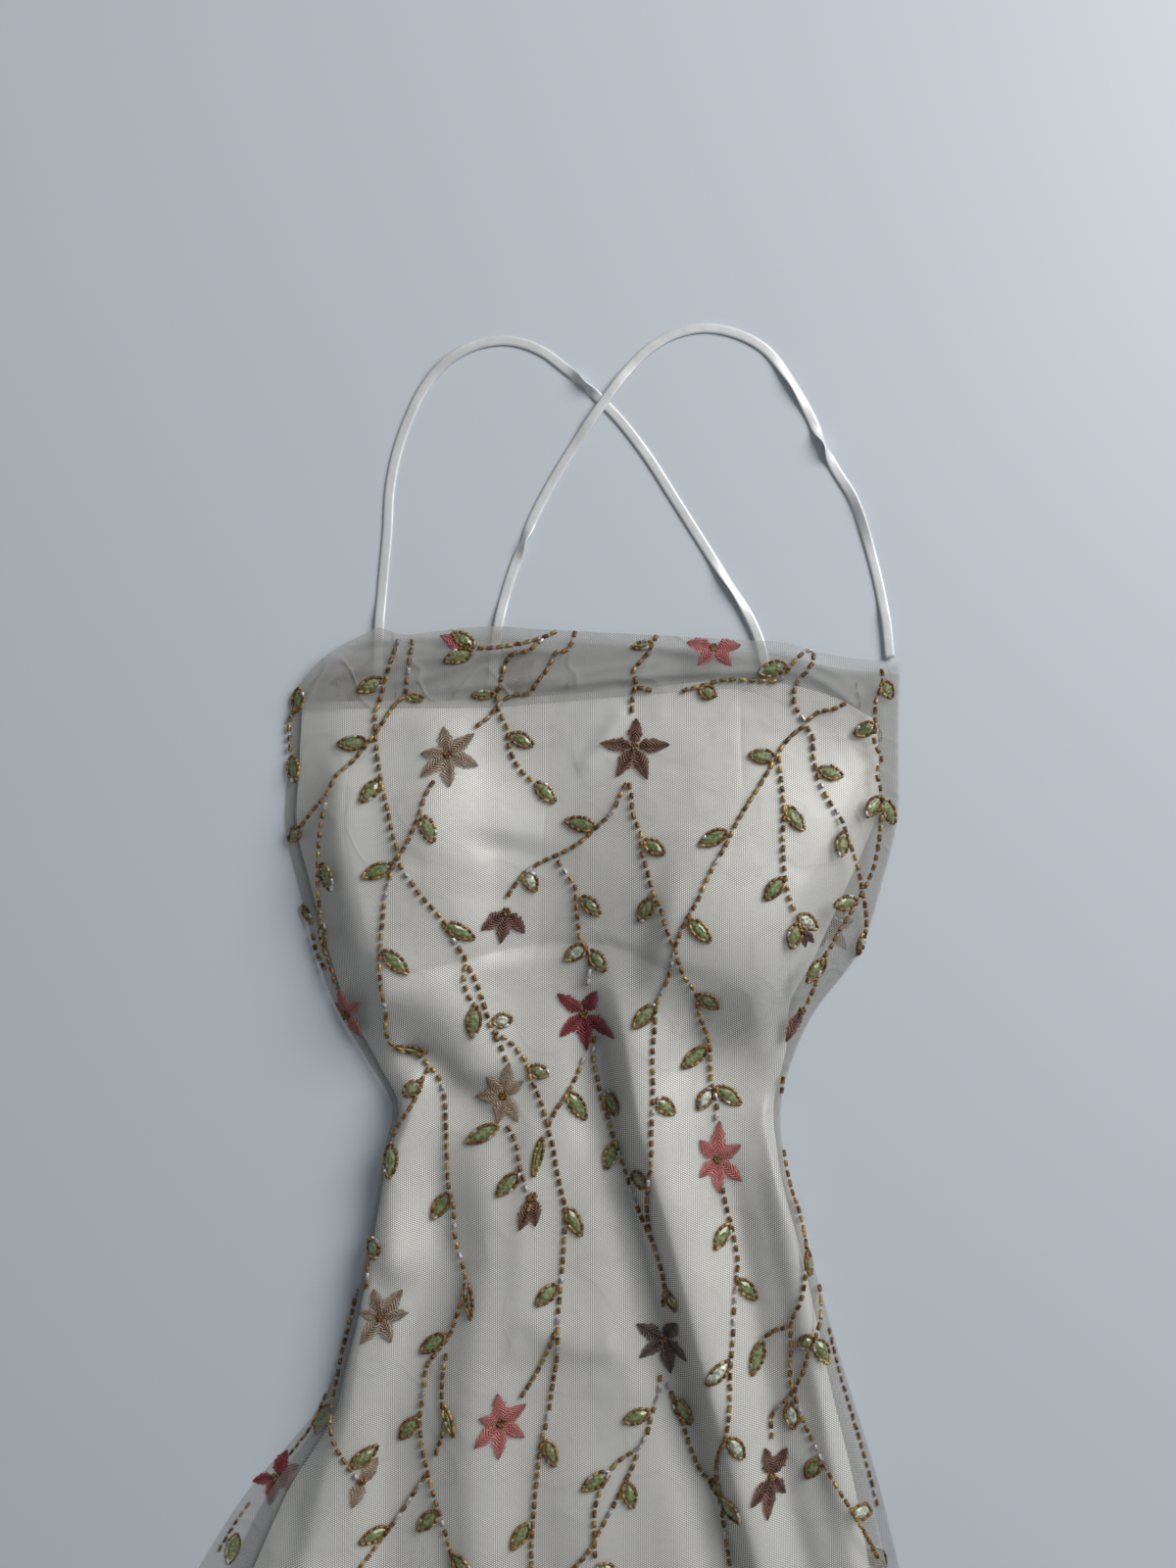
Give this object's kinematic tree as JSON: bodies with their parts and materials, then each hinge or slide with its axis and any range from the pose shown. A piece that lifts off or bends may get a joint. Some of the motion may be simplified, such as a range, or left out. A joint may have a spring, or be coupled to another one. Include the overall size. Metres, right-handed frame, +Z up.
{
  "type": "gown",
  "caption": "Long empire-line evening gown laid flat on its back: satin slip with bust cups and thin crossed straps under a beaded net overlay, flaring to the hem.",
  "frame": {"origin": "centre of the gown's outline, straps included, on the surface that it lies on", "axes": "+X to the right as seen from above, +Y from hem to neckline, +Z up out of the gown's front"},
  "size_m": [0.748, 1.5615, 0.0398],
  "materials": {
    "ivory_satin": "ivory satin, soft sheen, woven",
    "ivory_net": "fine ivory net with six-sided holes, beaded and embroidered",
    "strap_satin": "ivory satin sewn into narrow flat straps"
  },
  "bodies": {
    "root": {"lining_side_left": "ivory_satin", "lining_cup_left": "ivory_satin", "lining_cup_right": "ivory_satin", "lining_side_right": "ivory_satin", "lining_skirt": "ivory_satin", "lining_back": "ivory_satin", "overlay_front": "ivory_net", "overlay_back": "ivory_net", "neck_turning": "ivory_net", "strap_left": "strap_satin", "strap_right": "strap_satin"}
  },
  "joints": []
}
